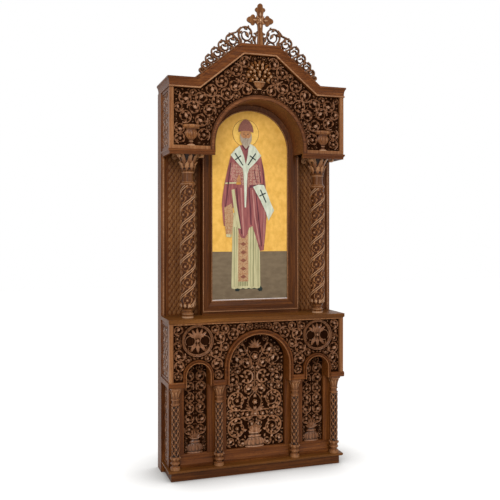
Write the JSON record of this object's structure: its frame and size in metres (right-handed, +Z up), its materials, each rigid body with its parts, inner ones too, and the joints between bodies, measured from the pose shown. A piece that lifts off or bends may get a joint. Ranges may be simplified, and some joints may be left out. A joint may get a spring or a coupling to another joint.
{
  "type": "carved icon stand",
  "caption": "Tall carved walnut icon stand: pierced cabinet with round arches and colonnettes, shelf, framed arched icon between columns, gabled canopy with crest and cross.",
  "frame": {"origin": "On the floor, in the middle of the stand's width and depth", "axes": "X runs to the right as seen from the front, the front faces -Y, Z is up"},
  "size_m": [1.022, 0.295, 2.55],
  "materials": {
    "walnut": "stained walnut, satin varnish",
    "walnut_carved": "carved walnut, satin varnish, dark in the hollows",
    "walnut_inner": "dark stained boards, matt",
    "icon": "painted and gilded panel, thin varnish"
  },
  "bodies": {
    "root": {"arch_lining": "walnut", "back_panel": "walnut_inner", "cabinet_bottom_rail": "walnut", "cabinet_side_left": "walnut", "cabinet_side_right": "walnut", "cabinet_top_rails": "walnut_inner", "canopy_base_mouldings": "walnut", "canopy_carving": "walnut_carved", "canopy_frame": "walnut", "canopy_relief": "walnut_carved", "canopy_side_left": "walnut", "canopy_side_right": "walnut", "canopy_soffits": "walnut_inner", "centre_arch_band": "walnut", "centre_panel": "walnut_carved", "column_capitals": "walnut_carved", "columns": "walnut_carved", "cornice_crown": "walnut", "cornice_left": "walnut", "cornice_right": "walnut", "crest": "walnut_carved", "cross": "walnut_carved", "frieze_carving": "walnut_carved", "frieze_frame": "walnut", "frieze_side_left": "walnut", "frieze_side_right": "walnut", "icon_frame_head": "walnut", "icon_frame_sill": "walnut", "icon_frame_stile_left": "walnut", "icon_frame_stile_right": "walnut", "icon_panel": "icon", "imposts": "walnut", "inner_colonnettes": "walnut_carved", "inner_stile_left": "walnut", "inner_stile_right": "walnut", "leaf_panel_left": "walnut_carved", "leaf_panel_right": "walnut_carved", "outer_colonnettes": "walnut_carved", "outer_stile_left": "walnut", "outer_stile_right": "walnut", "plinth_cap": "walnut", "plinth_frame": "walnut", "roof": "walnut_inner", "roundels": "walnut_carved", "shelf": "walnut", "side_arch_bands": "walnut", "side_board_left": "walnut", "side_board_right": "walnut", "side_panels": "walnut_carved"}
  },
  "joints": []
}
